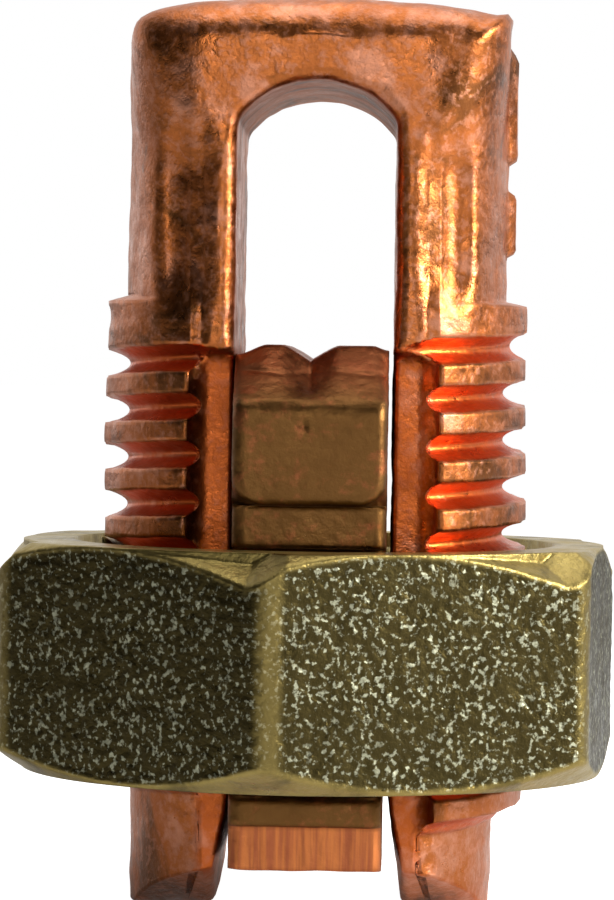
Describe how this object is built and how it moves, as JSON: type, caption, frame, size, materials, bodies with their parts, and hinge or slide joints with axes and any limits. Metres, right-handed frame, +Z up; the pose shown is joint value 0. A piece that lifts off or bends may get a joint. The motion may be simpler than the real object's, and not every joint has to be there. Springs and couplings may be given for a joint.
{
  "type": "split bolt connector",
  "caption": "Copper-alloy split bolt connector: slotted threaded bolt, hex nut and captive pressure bar that clamps bare conductors side by side in the slot.",
  "frame": {"origin": "on the thread's axis, level with the leg ends that the bolt stands on", "axes": "+Z up along the thread's axis towards the closed loop, +Y to the back along the conductors, +X across the slot"},
  "size_m": [0.021, 0.0224, 0.0303],
  "materials": {
    "forged_copper": "forged, satin, orange-red copper alloy with brown tarnish",
    "bronze": "rough olive-brown bronze with smooth chamfers",
    "tarnished_copper": "drawn bar, brown tarnish, bright where sheared"
  },
  "bodies": {
    "bolt": {"split_bolt": "forged_copper"},
    "bar": {"pressure_bar": "tarnished_copper"},
    "nut": {"hex_nut": "bronze"}
  },
  "joints": [
    {"name": "bar_slide", "type": "slide", "parent": "bolt", "child": "bar", "axis": [0, 0, 1], "range_m": [-0.0082, 0.00745]},
    {"name": "nut_spin", "type": "hinge", "parent": "bar", "child": "nut", "pos_m": [0, 0, 0], "axis": [0, 0, 1], "range_deg": [-1855, 1685]}
  ],
  "couplings": [
    {"joint": "bar_slide", "follows": "nut_spin", "m_per_rad": 0.00025266}
  ]
}
